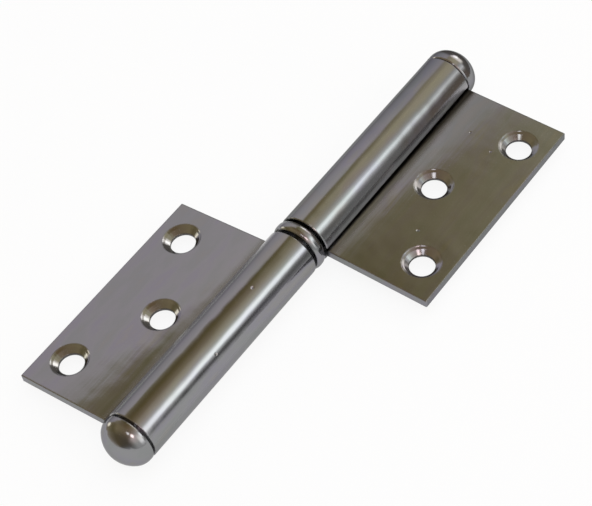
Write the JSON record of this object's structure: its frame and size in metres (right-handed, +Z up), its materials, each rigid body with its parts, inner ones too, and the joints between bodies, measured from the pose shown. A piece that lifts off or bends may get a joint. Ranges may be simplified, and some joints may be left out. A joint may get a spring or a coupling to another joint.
{
  "type": "lift off hinge",
  "caption": "Lift-off hinge in polished plated steel: a fixed leaf with its pin and a leaf that lifts off it, both rolled into knuckles with domed ends, with a loose ring between.",
  "frame": {"origin": "on the pin's axis, half way between the two knuckles", "axes": "+X across the hinge towards the lift-off leaf, +Y along the pin towards the lift-off half's end, +Z up out of the countersunk faces"},
  "size_m": [0.0552, 0.1109, 0.011],
  "materials": {
    "leaf_plate": "polished nickel plate on rolled steel sheet",
    "turned_steel": "polished nickel plate on turned steel",
    "ring_steel": "polished nickel plate"
  },
  "bodies": {
    "fixed_half": {"fixed_leaf": "leaf_plate", "hinge_pin": "turned_steel"},
    "ring": {"bearing_ring": "ring_steel"},
    "lift_off_half": {"lift_off_leaf": "leaf_plate", "end_plug": "turned_steel"}
  },
  "joints": [
    {"name": "swing", "type": "hinge", "parent": "fixed_half", "child": "ring", "pos_m": [0, 0, 0], "axis": [0, 1, 0], "continuous": true},
    {"name": "lift_off", "type": "slide", "parent": "ring", "child": "lift_off_half", "axis": [0, 1, 0], "range_m": [0, 0.045]}
  ]
}
